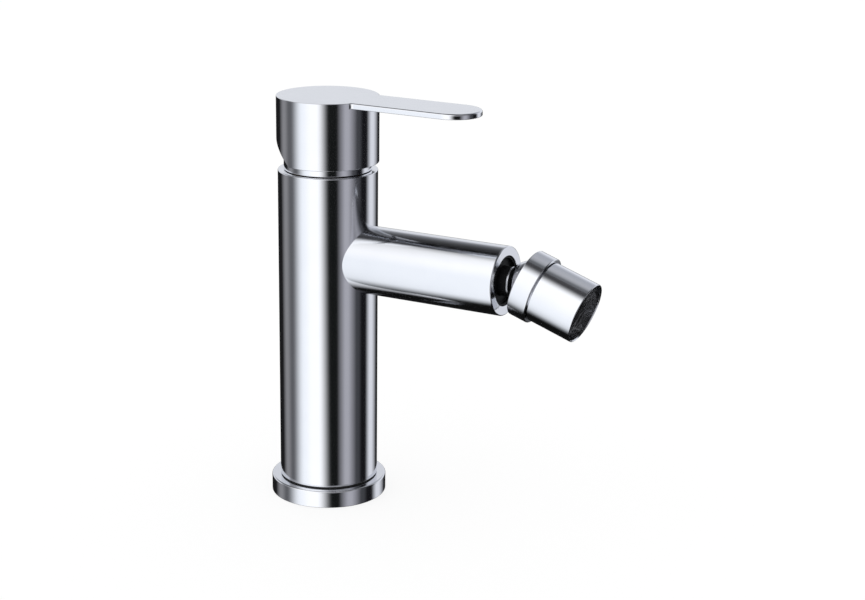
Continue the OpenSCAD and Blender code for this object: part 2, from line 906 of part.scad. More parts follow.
base_gasket();
base_ring();
foot_seal();
column();
spout();
cartridge_base();
port_seals();
fixed_disc();
cartridge_housing();
cartridge_nut();
neck_ring();
lever_guide();
pivot_pin();
moving_disc();
disc_carrier();
spindle();
handle();
handle_grub_screw();
index_plug();
insert_seal();
swivel_insert();
ball_stem();
stem_o_ring();
stem_clip();
collar();
ball_seat();
nozzle_sleeve();
aerator_washer();
aerator_insert();
aerator_screen();
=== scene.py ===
import math

import bpy
from mathutils import Matrix, Vector
from mathutils.geometry import tessellate_polygon


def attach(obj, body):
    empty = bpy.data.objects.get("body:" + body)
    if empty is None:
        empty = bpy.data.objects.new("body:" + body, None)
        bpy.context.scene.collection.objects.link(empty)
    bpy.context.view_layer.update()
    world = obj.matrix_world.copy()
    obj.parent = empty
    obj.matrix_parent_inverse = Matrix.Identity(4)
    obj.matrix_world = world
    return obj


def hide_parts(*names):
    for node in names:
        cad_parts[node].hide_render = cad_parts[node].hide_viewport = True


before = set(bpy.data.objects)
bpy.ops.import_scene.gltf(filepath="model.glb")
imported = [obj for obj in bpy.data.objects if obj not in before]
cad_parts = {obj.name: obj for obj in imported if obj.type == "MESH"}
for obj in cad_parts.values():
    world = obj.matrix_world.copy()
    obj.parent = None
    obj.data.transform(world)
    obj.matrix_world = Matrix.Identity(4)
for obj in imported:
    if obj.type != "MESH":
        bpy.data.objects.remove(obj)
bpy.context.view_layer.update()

# Base gasket: a flat ring die-cut from black sheet rubber, pressed into a groove under the base ring.
# It seals the mixer against the deck, and only its underside can be seen.
MM = 0.001
TURN_STEPS = 240
EDGE_STEPS = 5
GASKET_OUT, GASKET_IN, GASKET_T = 24.95, 20.55, 2.0
GASKET_EDGE = 0.25
RUBBER_BLACK = (0.008, 0.008, 0.009, 1)
RUBBER_GREY = (0.020, 0.020, 0.019, 1)
RUBBER_ROUGH, RUBBER_PATCHY, RUBBER_GRAIN = 0.55, 0.25, 0.00004


class Skin:
    """The faces of one piece in millimetres, each corner with the true normal of the real surface there."""

    def __init__(self):
        self.points = []
        self.numbers = {}
        self.faces = []
        self.normals = []

    def number(self, point):
        """The point's number in the mesh. Points in one place share a number."""
        key = (round(point[0], 4), round(point[1], 4), round(point[2], 4))
        if key not in self.numbers:
            self.numbers[key] = len(self.points)
            self.points.append([c * MM for c in point])
        return self.numbers[key]

    def face(self, corners):
        """Adds one face from (point, normal) corners, and turns it so that it looks along its normals."""
        ring, normals = [], []
        for point, normal in corners:
            number = self.number(point)
            if number not in ring:
                ring.append(number)
                normals.append(Vector(normal).normalized())
        if len(ring) < 3:
            return
        outward = Vector((0, 0, 0))
        for i, number in enumerate(ring):
            here, ahead = Vector(self.points[number]), Vector(self.points[ring[(i + 1) % len(ring)]])
            outward += here.cross(ahead)
        if outward.dot(sum(normals, Vector((0, 0, 0)))) < 0:
            ring.reverse()
            normals.reverse()
        self.faces.append(ring)
        self.normals += normals

    def flat(self, loops, to_plane, normal_of):
        """Fills the area between an outer loop and its holes; to_plane lays a point flat for the filling."""
        points = [p for loop in loops for p in loop]
        for corners in tessellate_polygon([[to_plane(p) for p in loop] for loop in loops]):
            self.face([(points[i], normal_of(points[i])) for i in corners])

    def piece(self, name, body, finish, place=Matrix()):
        """Makes the mesh and has it ride on a body, in place of the solid of the same name."""
        mesh = bpy.data.meshes.new(name)
        mesh.from_pydata(self.points, [], self.faces)
        mesh.polygons.foreach_set("use_smooth", [True] * len(self.faces))
        mesh.normals_split_custom_set([tuple(n) for n in self.normals])
        mesh.materials.append(finish)
        made = bpy.data.objects.new(name, mesh)
        bpy.context.scene.collection.objects.link(made)
        made.matrix_world = place
        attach(made, body)
        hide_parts(name)


def half_section(items):
    """Strips round a closed half section, taken with the metal on the left hand. An item is a corner
    (radius, height, edge radius) or a ready run of (point, normal) pairs, such as part of a ball."""
    runs = []
    for i, item in enumerate(items):
        if isinstance(item, list):
            runs.append(item)
            continue
        before, after = items[i - 1], items[(i + 1) % len(items)]
        here = Vector(item[:2])
        back = Vector(before[-1][0] if isinstance(before, list) else before[:2]) - here
        ahead = Vector(after[0][0] if isinstance(after, list) else after[:2]) - here
        back.normalize()
        ahead.normalize()
        coming, leaving = Vector((-back.y, back.x)), Vector((ahead.y, -ahead.x))
        edge = item[2]
        if edge == 0:
            runs.append([(here, coming), (here, leaving)])
            continue
        half = back.angle(ahead) / 2
        centre = here + (back + ahead).normalized() * (edge / math.sin(half))
        side = 1 if (here - centre).dot(coming) > 0 else -1
        run = []
        for step in range(EDGE_STEPS + 1):
            normal = coming.lerp(leaving, step / EDGE_STEPS).normalized()
            run.append((centre + normal * edge * side, normal))
        runs.append(run)
    strips = []
    for i, run in enumerate(runs):
        strips += [(run[k], run[k + 1]) for k in range(len(run) - 1) if run[k][0] != run[k + 1][0]]
        here, there = run[-1][0], runs[(i + 1) % len(runs)][0][0]
        along = (there - here).normalized()
        straight = Vector((along.y, -along.x))
        strips.append(((here, straight), (there, straight)))
    return strips


def swing(flat, turn):
    """A point (radius, height) of a half section, turned round the piece's axis."""
    return Vector((flat[0] * math.cos(turn), flat[0] * math.sin(turn), flat[1]))


def turn_round(skin, strips):
    """Turns the strips of a half section round the piece's axis, as on a lathe."""
    for k in range(TURN_STEPS):
        here, ahead = math.tau * k / TURN_STEPS, math.tau * ((k + 1) % TURN_STEPS) / TURN_STEPS
        for (p, n), (q, m) in strips:
            skin.face([(swing(p, here), swing(n, here)), (swing(p, ahead), swing(n, ahead)),
                       (swing(q, ahead), swing(m, ahead)), (swing(q, here), swing(m, here))])


class Flow:
    """A shader value. Sums, differences and products of flows add the Math nodes for them."""

    def __init__(self, tree, socket=None):
        self.tree = tree
        self.socket = socket

    def node(self, kind, settings, sockets, out=0):
        """Adds a node of this kind, with its settings first and then the values or links of its sockets."""
        made = self.tree.nodes.new(kind)
        for key, value in settings.items():
            if key == "stops":
                while len(made.color_ramp.elements) < len(value):
                    made.color_ramp.elements.new(1.0)
                for stop, (place, colour) in zip(made.color_ramp.elements, value):
                    stop.position = place
                    stop.color = colour
            else:
                setattr(made, key, value)
        for key, value in sockets.items():
            if isinstance(value, Flow):
                self.tree.links.new(value.socket, made.inputs[key])
            else:
                made.inputs[key].default_value = value
        return Flow(self.tree, made.outputs[out] if made.outputs else None)

    def maths(self, operation, *values):
        return self.node("ShaderNodeMath", {"operation": operation}, dict(enumerate(values)))

    def colours(self, first, second):
        """The first colour where this flow is 0 and the second where it is 1."""
        return self.node("ShaderNodeMix", {"data_type": "RGBA"}, {0: self, 6: first, 7: second}, 2)

    def __add__(self, other):
        return self.maths("ADD", self, other)

    def __rsub__(self, other):
        return self.maths("SUBTRACT", other, self)

    def __mul__(self, other):
        return self.maths("MULTIPLY", self, other)

    __radd__ = __add__
    __rmul__ = __mul__


def new_finish(name):
    """An empty material with its shader tree, and the place on the piece as a flow, in metres."""
    finish = bpy.data.materials.new(name)
    finish.use_nodes = True
    finish.node_tree.nodes.clear()
    start = Flow(finish.node_tree)
    return finish, start, start.node("ShaderNodeTexCoord", {}, {}, 3)


def close_finish(start, sockets):
    """Ends a finish in one surface shader with these sockets."""
    shader = start.node("ShaderNodeBsdfPrincipled", {}, sockets)
    start.node("ShaderNodeOutputMaterial", {}, {"Surface": shader})


def noise(start, place, scale, detail=2.0):
    """Soft random patches, with scale as their number to a metre."""
    return start.node("ShaderNodeTexNoise", {}, {"Vector": place, "Scale": scale, "Detail": detail})


def bump(start, height, depth):
    """A relief of this depth in metres, for a shader's normal."""
    return start.node("ShaderNodeBump", {}, {"Height": height, "Distance": depth, "Strength": 1.0})


def sheet_rubber():
    """Black sheet rubber: a pale bloom in slow patches, and the fine grain of the press cloth."""
    finish, start, place = new_finish("sheet_rubber")
    bloom = noise(start, place, scale=260.0, detail=3.0)
    grain = noise(start, place, scale=3200.0)
    close_finish(start, {
        "Base Color": bloom.colours(RUBBER_BLACK, RUBBER_GREY),
        "Roughness": RUBBER_ROUGH + RUBBER_PATCHY * grain,
        "Normal": bump(start, grain, RUBBER_GRAIN),
    })
    return finish


rubber = sheet_rubber()
gasket = Skin()
turn_round(gasket, half_section([
    (GASKET_IN, 0, GASKET_EDGE), (GASKET_OUT, 0, GASKET_EDGE),
    (GASKET_OUT, GASKET_T, GASKET_EDGE), (GASKET_IN, GASKET_T, GASKET_EDGE),
]))
gasket.piece("base_gasket", "mixer_body", rubber)

# Base ring: a wide low disc turned from brass bar, polished and chromed.
# The column's spigot drops through its bore, and its rounded upper edge catches the light.
RING_R, RING_H, RING_BORE = 26.5, 7.9, 19.05
RING_TOP_EDGE, RING_LOW_EDGE = 0.8, 0.3
HAIR_EDGE, FINE_EDGE, EASED_EDGE = 0.1, 0.2, 0.3
GROOVE_OUT, GROOVE_IN = 25.0, 20.5
CHROME_PALE = (0.83, 0.84, 0.86, 1)
CHROME_COOL = (0.78, 0.79, 0.82, 1)
CHROME_ROUGH, CHROME_CLOUD, CHROME_RINGS, CHROME_GRAIN = 0.085, 0.02, 0.025, 0.0000006


def lathe_rings(start, place, per_metre, detail):
    """Rings round the piece's own axis, as a tool or a buffing wheel leaves them."""
    axis = start.node("ShaderNodeSeparateXYZ", {}, {"Vector": place}, 2)
    return start.node("ShaderNodeTexNoise", {"noise_dimensions": "1D"},
                      {"W": axis * per_metre, "Scale": 1.0, "Detail": detail})


def polished_chrome():
    """Mirror chrome: faint rings left by buffing on the lathe, and a slight cloudiness of the plating."""
    finish, start, place = new_finish("polished_chrome")
    cloud = noise(start, place, scale=90.0, detail=3.0)
    rings = lathe_rings(start, place, per_metre=2600.0, detail=3.0)
    fine = noise(start, place, scale=1500.0)
    close_finish(start, {
        "Base Color": cloud.colours(CHROME_COOL, CHROME_PALE),
        "Metallic": 1.0,
        "Roughness": CHROME_ROUGH + CHROME_CLOUD * cloud + CHROME_RINGS * rings,
        "Normal": bump(start, fine, CHROME_GRAIN),
    })
    return finish


chrome = polished_chrome()
base_ring = Skin()
turn_round(base_ring, half_section([
    (RING_BORE, 0, FINE_EDGE), (GROOVE_IN, 0, HAIR_EDGE), (GROOVE_IN, GASKET_T, 0),
    (GROOVE_OUT, GASKET_T, 0), (GROOVE_OUT, 0, HAIR_EDGE), (RING_R, 0, RING_LOW_EDGE),
    (RING_R, RING_H, RING_TOP_EDGE), (RING_BORE, RING_H, HAIR_EDGE),
]))
base_ring.piece("base_ring", "mixer_body", chrome)

# Foot seal: a thin flat ring of black rubber between the base ring and the column's foot.
# It shows as a fine dark line, because it stops just short of the column's wall.
# Part real seal and part painted shade: its black stands in for the shadow of the gap under the column's
# foot.
FOOT_SEAL_R, FOOT_SEAL_T = 22.0, 0.6
FOOT_Z = RING_H + FOOT_SEAL_T

foot_seal = Skin()
turn_round(foot_seal, half_section([
    (RING_BORE, RING_H, 0), (FOOT_SEAL_R, RING_H, HAIR_EDGE),
    (FOOT_SEAL_R, FOOT_Z, HAIR_EDGE), (RING_BORE, FOOT_Z, 0),
]))
foot_seal.piece("foot_seal", "mixer_body", rubber)

# Column: the body of the mixer, a brass casting turned outside, polished and chromed.
# Its hollow underside holds two hose inlets and the fixing stud's hole, and the cartridge sits in its top.
COLUMN_R, COLUMN_TOP = 22.5, 153.2
COLUMN_FOOT_EDGE, COLUMN_RIM_EDGE = 0.22, 0.5
SPIGOT_R, SPIGOT_Z = 19.0, 2.5
HOLLOW_R, HOLLOW_TOP = 16.5, 60.0
CARTRIDGE_BORE, CARTRIDGE_FLOOR = 17.5, 126.0
INLET_X, INLET_Y, INLET_R, INLET_DEPTH = 3.5, 8.5, 4.46, 14.0
STUD_X, STUD_R, STUD_DEPTH = -9.0, 3.4, 16.0
HOLE_STEPS = 48
COLUMN_HOLES = [
    (INLET_X, INLET_Y, INLET_R, INLET_DEPTH),
    (INLET_X, -INLET_Y, INLET_R, INLET_DEPTH),
    (STUD_X, 0, STUD_R, STUD_DEPTH),
]
DOWN, UP = Vector((0, 0, -1)), Vector((0, 0, 1))

# The hollow's ceiling is left out of the turned strips and filled in flat, because holes go up through it.
column = Skin()
turn_round(column, [s for s in half_section([
    (HOLLOW_R, SPIGOT_Z, EASED_EDGE), (SPIGOT_R, SPIGOT_Z, EASED_EDGE), (SPIGOT_R, FOOT_Z, FINE_EDGE),
    (COLUMN_R, FOOT_Z, COLUMN_FOOT_EDGE), (COLUMN_R, COLUMN_TOP, COLUMN_RIM_EDGE),
    (CARTRIDGE_BORE, COLUMN_TOP, EASED_EDGE), (CARTRIDGE_BORE, CARTRIDGE_FLOOR, 0),
    (0, CARTRIDGE_FLOOR, 0), (0, HOLLOW_TOP, 0), (HOLLOW_R, HOLLOW_TOP, 0),
]) if not (s[0][0].y == s[1][0].y == HOLLOW_TOP or s[0][0].x == s[1][0].x == 0)])
ceiling = [[swing((HOLLOW_R, HOLLOW_TOP), math.tau * k / TURN_STEPS) for k in range(TURN_STEPS)]]
for hole_x, hole_y, hole_r, hole_depth in COLUMN_HOLES:
    rim = [Vector((hole_x, hole_y, 0)) + swing((hole_r, HOLLOW_TOP), math.tau * k / HOLE_STEPS)
           for k in range(HOLE_STEPS)]
    ceiling.append(rim)
    hole_rise = UP * hole_depth
    for k in range(HOLE_STEPS):
        wall = (rim[k - 1], rim[k], rim[k] + hole_rise, rim[k - 1] + hole_rise)
        column.face([(p, (hole_x - p.x, hole_y - p.y, 0)) for p in wall])
    column.face([(p + hole_rise, DOWN) for p in rim])
column.flat(ceiling, lambda p: p.xy, lambda p: DOWN)
column.piece("column", "mixer_body", chrome)

# Spout: a thick straight tube, saddle-cut to the column and soldered into its side, polished and chromed.
# Its end is bored out to a threaded mouth that takes the swivel insert.
SPOUT_R, SPOUT_Z, SPOUT_REACH = 15.35, 113.75, 90.0
SPOUT_EDGE, MOUTH_EDGE = 0.6, 0.3
SPOUT_ROOT, SPOUT_SPIGOT, SPOUT_WAY = 14.0, 11.35, 8.95
MOUTH_R, MOUTH_FLOOR = 11.05, 75.5
SOLDER_GAP = 0.05
SADDLE_R = COLUMN_R + SOLDER_GAP
lying = Matrix.Rotation(math.radians(90), 4, "Y")
along_spout = Matrix.Translation((0, 0, SPOUT_Z * MM)) @ lying


def saddle(radius, turn):
    """How far along the spout a line of its wall meets the column."""
    return math.sqrt(SADDLE_R ** 2 - (radius * math.sin(turn)) ** 2)


spout = Skin()
tube = half_section([
    (SPOUT_WAY, SPOUT_ROOT, 0), (SPOUT_SPIGOT, SPOUT_ROOT, 0), (SPOUT_R, SPOUT_ROOT, 0),
    (SPOUT_R, SPOUT_REACH, SPOUT_EDGE), (MOUTH_R, SPOUT_REACH, MOUTH_EDGE), (MOUTH_R, MOUTH_FLOOR, 0),
    (SPOUT_WAY, MOUTH_FLOOR, 0),
])
turn_round(spout, [s for s in tube if min(s[0][0].y, s[1][0].y) > SPOUT_ROOT])
turn_round(spout, [((Vector((SPOUT_WAY, MOUTH_FLOOR)), Vector((-1, 0))),
                    (Vector((SPOUT_WAY, SPOUT_ROOT)), Vector((-1, 0)))),
                   ((Vector((SPOUT_WAY, SPOUT_ROOT)), Vector((0, -1))),
                    (Vector((SPOUT_SPIGOT, SPOUT_ROOT)), Vector((0, -1))))])
for k in range(TURN_STEPS):
    rows = []
    for turn in (math.tau * k / TURN_STEPS, math.tau * ((k + 1) % TURN_STEPS) / TURN_STEPS):
        radial = swing((1, 0), turn)
        inner, outer = (swing((r, saddle(r, turn)), turn) for r in (SPOUT_SPIGOT, SPOUT_R))
        hollow = [Vector((0, -p.y, -p.z)) for p in (inner, outer)]
        wall_start = swing((SPOUT_SPIGOT, SPOUT_ROOT), turn)
        wall_end = swing((SPOUT_R, SPOUT_REACH - SPOUT_EDGE), turn)
        rows.append(((wall_start, radial), (inner, radial), (inner, hollow[0]),
                     (outer, hollow[1]), (outer, radial), (wall_end, radial)))
    for first in (0, 2, 4):
        spout.face([rows[0][first], rows[1][first], rows[1][first + 1], rows[0][first + 1]])
spout.piece("spout", "mixer_body", chrome, along_spout)

# Cartridge: the mixer's valve, a stack of moulded nylon, rubber seals and two lapped ceramic discs.
# A hexagonal brass nut clamps it into the column, and the lever's spindle rocks on a steel pin in its guide.
NYLON_WHITE, NYLON_CREAM = (0.80, 0.80, 0.77, 1), (0.72, 0.72, 0.68, 1)
BLUE_DEEP, BLUE_LIGHT = (0.03, 0.07, 0.26, 1), (0.05, 0.11, 0.36, 1)
CERAMIC_WHITE, CERAMIC_GREY = (0.80, 0.80, 0.77, 1), (0.70, 0.70, 0.68, 1)
BRASS_BRIGHT, BRASS_DULL = (0.72, 0.55, 0.27, 1), (0.50, 0.36, 0.17, 1)
STEEL_BRIGHT, STEEL_DULL = (0.60, 0.60, 0.62, 1), (0.44, 0.44, 0.46, 1)
MOULD_PATCHY, MOULD_GRAIN = 0.12, 0.00001
TOOL_PATCHY, TOOL_DEPTH = 0.16, 0.000006
LAPPED_ROUGH, LAPPED_PATCHY, LAPPED_DEPTH = 0.12, 0.15, 0.000004


def moulded_plastic(name, first, second, roughness, shine=0.5, grain_depth=MOULD_GRAIN):
    """Injection-moulded plastic: slow flow clouds and the fine spark-eroded grain of the mould."""
    finish, start, place = new_finish(name)
    flow = noise(start, place, scale=140.0, detail=3.0)
    grain = noise(start, place, scale=4200.0, detail=1.0)
    close_finish(start, {
        "Base Color": flow.colours(first, second),
        "Roughness": roughness + MOULD_PATCHY * grain,
        "Specular IOR Level": shine,
        "Normal": bump(start, grain, grain_depth),
    })
    return finish


def turned_metal(name, bright, dull, roughness):
    """Machined metal left bare: fine tool rings round the axis and patches of handling tarnish."""
    finish, start, place = new_finish(name)
    tarnish = noise(start, place, scale=210.0, detail=4.0)
    tool = lathe_rings(start, place, per_metre=9000.0, detail=2.0)
    close_finish(start, {
        "Base Color": tarnish.colours(bright, dull),
        "Metallic": 1.0,
        "Roughness": roughness + TOOL_PATCHY * tool,
        "Normal": bump(start, tool, TOOL_DEPTH),
    })
    return finish


def lapped_ceramic():
    """Sintered ceramic, lapped flat until it shines, with the fine speckle of its powder."""
    finish, start, place = new_finish("lapped_ceramic")
    speck = noise(start, place, scale=2400.0, detail=4.0)
    close_finish(start, {
        "Base Color": speck.colours(CERAMIC_WHITE, CERAMIC_GREY),
        "Roughness": LAPPED_ROUGH + LAPPED_PATCHY * speck,
        "Normal": bump(start, speck, LAPPED_DEPTH),
    })
    return finish


def dress(finish, *nodes):
    """Gives a finish to inner pieces that keep their solid's own shape."""
    for name in nodes:
        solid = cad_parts[name]
        solid.data.materials.clear()
        solid.data.materials.append(finish)


nylon = moulded_plastic("white_nylon", NYLON_WHITE, NYLON_CREAM, roughness=0.34)
blue = moulded_plastic("blue_acetal", BLUE_DEEP, BLUE_LIGHT, roughness=0.28)
ceramic = lapped_ceramic()
brass = turned_metal("turned_brass", BRASS_BRIGHT, BRASS_DULL, roughness=0.2)
steel = turned_metal("turned_steel", STEEL_BRIGHT, STEEL_DULL, roughness=0.22)
dress(nylon, "cartridge_base", "cartridge_housing", "lever_guide")
dress(rubber, "port_seals")
dress(ceramic, "fixed_disc", "moving_disc")
dress(blue, "disc_carrier")
dress(brass, "cartridge_nut", "spindle")
dress(steel, "pivot_pin", "handle_grub_screw")

# Neck ring: a thin chromed brass cap, pressed over the cartridge nut.
# It fills the step between the column's rim and the handle, and leaves a hair-thin dark gap over the rim.
NECK_R, NECK_TOP, NECK_EDGE = 19.8, 158.5, 0.4
NECK_BORE, NECK_LIP, NECK_LIP_H = 18.0, 13.95, 1.2
NECK_GAP = 0.3
NECK_FOOT = COLUMN_TOP + NECK_GAP

neck_ring = Skin()
turn_round(neck_ring, half_section([
    (NECK_BORE, NECK_FOOT, HAIR_EDGE), (NECK_R, NECK_FOOT, HAIR_EDGE), (NECK_R, NECK_TOP, NECK_EDGE),
    (NECK_LIP, NECK_TOP, FINE_EDGE), (NECK_LIP, NECK_TOP - NECK_LIP_H, HAIR_EDGE),
    (NECK_BORE, NECK_TOP - NECK_LIP_H, 0),
]))
neck_ring.piece("neck_ring", "mixer_body", chrome)

# Handle: one zinc casting, a round cup with a flat blade that runs out of its top face, polished and chromed.
# A slanted cut at the back lets the cup rock over the column, and a boss inside takes the square spindle.
CUP_R, CUP_IN, CUP_LOW, HANDLE_TOP = 23.0, 20.9, 156.7, 186.5
CUT_RISE, CUT_SLOPE = 13.5, math.radians(40)
BLADE_T, BLADE_HALF, BLADE_TIP = 2.5, 12.5, 63.0
HOLLOW_CORNER, HANDLE_EDGE, CUP_TOP_EDGE, BLADE_TOP_EDGE = 2.5, 0.35, 0.22, 0.9
ROOF_Z, BOSS_R, BOSS_LOW = 181.0, 9.5, 169.0
SOCKET_HALF, SOCKET_TOP = 3.55, 180.05
PLUG_Z, PLUG_SEAT_R, PLUG_DEPTH = 177.0, 3.25, 1.9
PATCH_HIGH, PATCH_LOW, PATCH_HALF = 181.5, 172.4, math.radians(13)
BLADE_LOW = HANDLE_TOP - BLADE_T
CUP_STEPS, CORNER_STEPS, TIP_STEPS, ARCH_STEPS = 200, 14, 64, 48
ROUNDING_RATE = 3

corner_x = math.sqrt((CUP_R + HOLLOW_CORNER) ** 2 - (BLADE_HALF + HOLLOW_CORNER) ** 2)
corner_y = BLADE_HALF + HOLLOW_CORNER
root = math.atan2(corner_y, corner_x)


def cup_low(radius, turn):
    """Height of the cup's lower edge: level in front, on the slanted cut at the back."""
    return max(CUP_LOW, CUP_LOW + CUT_RISE - math.tan(CUT_SLOPE) * (radius * math.cos(turn) + CUP_R))


def cup_line(turn, start_z):
    """One upright line over the cup: down its wall, round the lower edge, up inside, to the boss's foot."""
    radial = swing((1, 0), turn)

    def at(radius, height):
        return swing((radius, height), turn)

    cut = cup_low(CUP_R, turn) > CUP_LOW
    under = Vector((-math.sin(CUT_SLOPE), 0, -math.cos(CUT_SLOPE))) if cut else DOWN
    line = [(at(CUP_R, z), radial) for z in (start_z, PATCH_HIGH, PATCH_LOW)]
    for radius, step, before, after in ((CUP_R, -1, radial, under), (CUP_IN, 1, under, -radial)):
        corner = at(radius, cup_low(radius, turn))
        wall = corner + UP * HANDLE_EDGE
        floor = at(radius + step * HANDLE_EDGE, cup_low(radius + step * HANDLE_EDGE, turn))
        first, last = (wall, floor) if step < 0 else (floor, wall)
        for k in range(EDGE_STEPS + 1):
            t = k / EDGE_STEPS
            line.append((first.lerp(corner, t).lerp(corner.lerp(last, t), t), before.lerp(after, t)))
    line += [(at(CUP_IN, ROOF_Z), -radial), (at(CUP_IN, ROOF_Z), DOWN), (at(BOSS_R, ROOF_Z), DOWN),
             (at(BOSS_R, ROOF_Z), radial), (at(BOSS_R, BOSS_LOW), radial)]
    return line


# The top face's outline, anticlockwise: place, outward normal, and how far the blade's edges are rounded.
# The rounding grows over the first third of each hollow corner.
outline = []
for k in range(CUP_STEPS + 1):
    radial = swing((1, 0), root + (math.tau - 2 * root) * k / CUP_STEPS)
    outline.append((radial * CUP_R, radial, 0.0))
for side in (-1, 1):
    arc = []
    for k in range(CORNER_STEPS + 1):
        turn = math.pi - root + (root - math.pi / 2) * k / CORNER_STEPS
        outward = Vector((-math.cos(turn), side * math.sin(turn), 0))
        middle = Vector((corner_x, side * corner_y, 0))
        arc.append((middle - outward * HOLLOW_CORNER, outward, min(1.0, ROUNDING_RATE * k / CORNER_STEPS)))
    if side < 0:
        outline += arc[1:]
        for k in range(TIP_STEPS + 1):
            radial = swing((1, 0), -math.pi / 2 + math.pi * k / TIP_STEPS)
            outline.append((Vector((BLADE_TIP, 0, 0)) + radial * BLADE_HALF, radial, 1.0))
    else:
        outline += arc[:0:-1]

handle = Skin()
loop_count = len(outline)
top_rim, blade_rim = [], []
for i in range(loop_count):
    sides = []
    for place, out, rounding in (outline[i], outline[(i + 1) % loop_count]):
        line = []
        upper = CUP_TOP_EDGE + (BLADE_TOP_EDGE - CUP_TOP_EDGE) * rounding
        for k in range(EDGE_STEPS + 1):
            lean = math.pi / 2 * k / EDGE_STEPS
            inset = out * upper * (1 - math.sin(lean))
            edge_z = HANDLE_TOP - upper * (1 - math.cos(lean))
            line.append((place - inset + UP * edge_z, out * math.sin(lean) + UP * math.cos(lean)))
        lower = HANDLE_EDGE * rounding
        for k in range(EDGE_STEPS + 1):
            lean = math.pi / 2 * k / EDGE_STEPS
            inset = out * lower * (1 - math.cos(lean))
            edge_z = BLADE_LOW + lower * (1 - math.sin(lean))
            line.append((place - inset + UP * edge_z, out * math.cos(lean) + DOWN * math.sin(lean)))
        sides.append(line)
    top_rim.append((sides[0][0][0], UP))
    on_blade = i >= CUP_STEPS
    for k in range(len(sides[0]) - 1 if on_blade else EDGE_STEPS):
        handle.face([sides[0][k], sides[0][k + 1], sides[1][k + 1], sides[1][k]])
    if on_blade:
        blade_rim.append((sides[0][-1][0], DOWN))
handle.face(top_rim)
arch = [-root + 2 * root * k / ARCH_STEPS for k in range(ARCH_STEPS + 1)]
blade_rim.append((swing((CUP_R, BLADE_LOW), root), DOWN))
handle.face(blade_rim + [(swing((CUP_R, BLADE_LOW), turn), DOWN) for turn in arch[-2:0:-1]])

# The cup's wall, with a patch left open at the back for the plug's round seat.
back_turns = [root + (math.tau - 2 * root) * k / CUP_STEPS for k in range(CUP_STEPS + 1)]
patch = [turn for turn in back_turns if abs(turn - math.pi) <= PATCH_HALF]
for turns, start_z in ((back_turns, HANDLE_TOP - CUP_TOP_EDGE), (arch, BLADE_LOW)):
    lines = [cup_line(turn, start_z) for turn in turns]
    for k in range(len(turns) - 1):
        for n in range(len(lines[k]) - 1):
            if not (n == 1 and turns[k] in patch and turns[k + 1] in patch):
                handle.face([lines[k][n], lines[k][n + 1], lines[k + 1][n + 1], lines[k + 1][n]])
seat = []
for k in range(HOLE_STEPS):
    y, z = swing((PLUG_SEAT_R, 0), math.tau * k / HOLE_STEPS).xy
    seat.append(Vector((-math.sqrt(CUP_R ** 2 - y ** 2), y, PLUG_Z + z)))
patch_rim = [swing((CUP_R, PATCH_LOW), turn) for turn in patch]
patch_rim += [swing((CUP_R, PATCH_HIGH), turn) for turn in patch[::-1]]
handle.flat([patch_rim, seat], lambda p: Vector((CUP_R * math.atan2(p.y, -p.x), p.z)),
            lambda p: (p.x, p.y, 0))
seat_floor = [Vector((PLUG_DEPTH - CUP_R, p.y, p.z)) for p in seat]
for k in range(HOLE_STEPS):
    wall = (seat[k - 1], seat[k], seat_floor[k], seat_floor[k - 1])
    handle.face([(p, (0, -p.y, PLUG_Z - p.z)) for p in wall])
handle.face([(p, (-1, 0, 0)) for p in seat_floor])

# The boss's foot, with the square socket for the spindle.
square = [Vector((x * SOCKET_HALF, y * SOCKET_HALF, BOSS_LOW))
          for x, y in ((1, 1), (-1, 1), (-1, -1), (1, -1))]
foot = [swing((BOSS_R, BOSS_LOW), turn) for turn in back_turns[:-1] + arch[:-1]]
handle.flat([foot, square], lambda p: p.xy, lambda p: DOWN)
socket_rise = UP * (SOCKET_TOP - BOSS_LOW)
for p, q in zip(square[-1:] + square, square):
    inward = -(p + q) / 2
    inward.z = 0
    handle.face([(p, inward), (q, inward), (q + socket_rise, inward), (p + socket_rise, inward)])
handle.face([(p + socket_rise, DOWN) for p in square])
handle.piece("handle", "lever_handle", chrome)

# Index plug: a small moulded disc, pressed into the back of the cup over the handle's grub screw.
# Its two halves are coloured for hot and cold water.
PLUG_R, PLUG_SINK, PLUG_T, PLUG_EDGE = 3.2, 0.3, 1.55, 0.35
HOT_RED, HOT_DARK = (0.36, 0.022, 0.018, 1), (0.27, 0.015, 0.013, 1)
PLUG_ROUGH, PLUG_PATCHY, PLUG_GRAIN = 0.22, 0.12, 0.000006


def two_colour_plug():
    """Glossy moulded plastic, red on one side of the plug's middle line and blue on the other."""
    finish, start, place = new_finish("two_colour_plug")
    grain = noise(start, place, scale=2600.0)
    side = start.node("ShaderNodeSeparateXYZ", {}, {"Vector": place}, 1)
    hot = side.maths("LESS_THAN", side, 0.0)
    close_finish(start, {
        "Base Color": hot.colours(grain.colours(BLUE_DEEP, BLUE_LIGHT), grain.colours(HOT_RED, HOT_DARK)),
        "Roughness": PLUG_ROUGH + PLUG_PATCHY * grain,
        "Normal": bump(start, grain, PLUG_GRAIN),
    })
    return finish


plug = Skin()
turn_round(plug, half_section([
    (0, 0, 0), (PLUG_R, 0, PLUG_EDGE), (PLUG_R, PLUG_T, HAIR_EDGE), (0, PLUG_T, 0),
])[:-1])
plug.piece("index_plug", "lever_handle", two_colour_plug(),
           Matrix.Translation(((PLUG_SINK - CUP_R) * MM, 0, PLUG_Z * MM)) @ lying)
